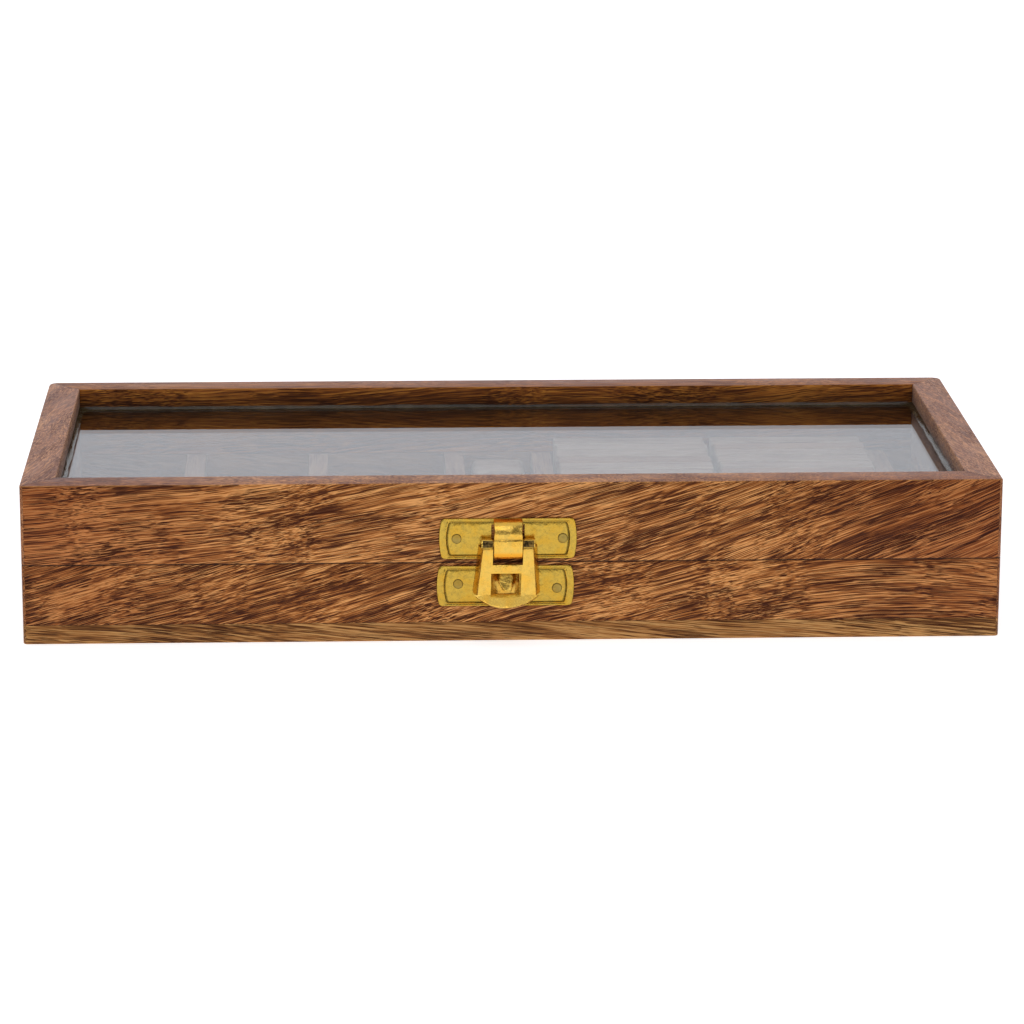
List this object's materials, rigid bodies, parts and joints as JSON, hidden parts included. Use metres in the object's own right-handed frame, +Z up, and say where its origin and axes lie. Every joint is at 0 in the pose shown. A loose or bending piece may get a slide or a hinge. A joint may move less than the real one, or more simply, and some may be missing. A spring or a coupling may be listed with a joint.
{
  "type": "compartmented glass-lidded display case",
  "caption": "Shallow wooden display case with a hinged glass lid, front-to-back partitions, stacked wooden tiles and a brass swing hasp.",
  "frame": {"origin": "middle of the underside, on the surface the case stands on", "axes": "+X along the case to the right, -Y out of the front with the hasp, +Z up"},
  "size_m": [0.3, 0.1501, 0.05],
  "materials": {
    "lid_wood": "waxed open-pored dark hardwood",
    "base_wood": "waxed open-pored dark hardwood",
    "board_wood": "waxed lighter hardwood board",
    "partition_wood": "sanded hardwood",
    "tile_wood": "sanded hardwood",
    "block_wood": "sanded hardwood",
    "glass": "clear float glass",
    "sealant": "translucent set bead",
    "hasp_brass": "bright pressed brass",
    "nail_brass": "dull brass",
    "hinge_brass": "bright brass"
  },
  "bodies": {
    "base": {"base_front_rail": "base_wood", "base_back_rail": "base_wood", "base_left_rail": "base_wood", "base_right_rail": "base_wood", "bottom_board": "board_wood", "partition_1": "partition_wood", "partition_2": "partition_wood", "partition_3": "partition_wood", "partition_4": "partition_wood", "partition_5": "partition_wood", "rounded_block_1": "block_wood", "rounded_block_2": "block_wood", "hinge_left_base_leaf": "hinge_brass", "hinge_right_base_leaf": "hinge_brass", "hinge_left_pin": "hinge_brass", "hinge_right_pin": "hinge_brass", "hinge_base_screws": "hinge_brass", "hasp_catch_plate": "hasp_brass", "hasp_catch_nails": "nail_brass", "tile_one_01": "tile_wood", "tile_one_02": "tile_wood", "tile_one_03": "tile_wood", "tile_one_04": "tile_wood", "tile_one_05": "tile_wood", "tile_one_06": "tile_wood", "tile_one_07": "tile_wood", "tile_one_08": "tile_wood", "tile_one_09": "tile_wood", "tile_one_10": "tile_wood", "tile_one_11": "tile_wood", "tile_one_12": "tile_wood", "tile_one_13": "tile_wood", "tile_one_14": "tile_wood", "tile_two_01": "tile_wood", "tile_two_02": "tile_wood", "tile_two_03": "tile_wood", "tile_two_04": "tile_wood", "tile_two_05": "tile_wood", "tile_two_06": "tile_wood", "tile_two_07": "tile_wood", "tile_two_08": "tile_wood", "tile_two_09": "tile_wood", "tile_two_10": "tile_wood", "tile_two_11": "tile_wood", "tile_two_12": "tile_wood", "tile_two_13": "tile_wood", "tile_two_14": "tile_wood"},
    "lid": {"lid_front_rail": "lid_wood", "lid_back_rail": "lid_wood", "lid_left_rail": "lid_wood", "lid_right_rail": "lid_wood", "glass_pane": "glass", "glass_sealant_bead": "sealant", "hinge_left_lid_leaf": "hinge_brass", "hinge_right_lid_leaf": "hinge_brass", "hinge_lid_screws": "hinge_brass", "hasp_top_plate": "hasp_brass", "hasp_top_nails": "nail_brass"},
    "lever": {"hasp_lever": "hasp_brass"}
  },
  "joints": [
    {"name": "lid_hinge", "type": "hinge", "parent": "base", "child": "lid", "pos_m": [0, 0.0709, 0.025], "axis": [-1, 0, 0], "range_deg": [0, 180]},
    {"name": "hasp_swing", "type": "hinge", "parent": "lid", "child": "lever", "pos_m": [-0.0017, -0.0726, 0.0315], "axis": [-1, 0, 0], "range_deg": [0, 140]}
  ]
}
